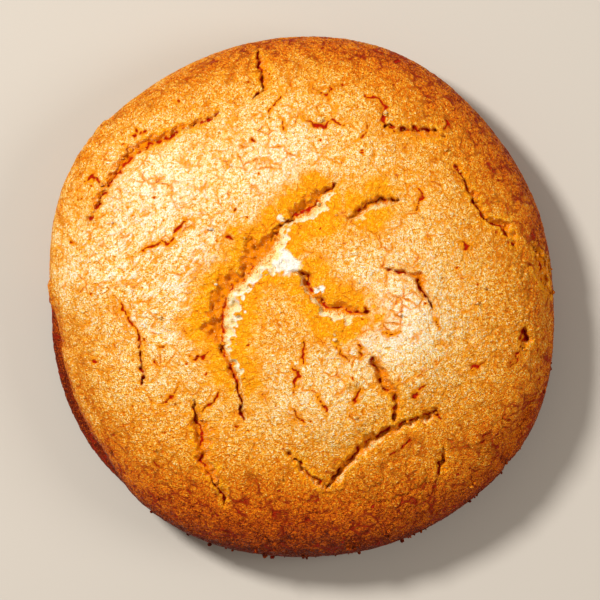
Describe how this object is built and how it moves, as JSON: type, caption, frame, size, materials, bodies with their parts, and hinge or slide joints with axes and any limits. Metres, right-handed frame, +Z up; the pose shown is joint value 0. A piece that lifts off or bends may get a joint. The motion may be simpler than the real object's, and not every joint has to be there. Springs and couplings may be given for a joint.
{
  "type": "butter cookie",
  "caption": "Round domed butter cookie with a cracked golden crust, to lie flat on a plate, tray or board.",
  "frame": {"origin": "on the tray side, at the middle of the box round the cookie", "axes": "+Z up through the domed crust, +Y away from the viewer as pictured, +X to the viewer's right"},
  "size_m": [0.0636, 0.0654, 0.02],
  "materials": {
    "baked_crust": "satin"
  },
  "bodies": {
    "root": {"cookie": "baked_crust"}
  },
  "joints": []
}
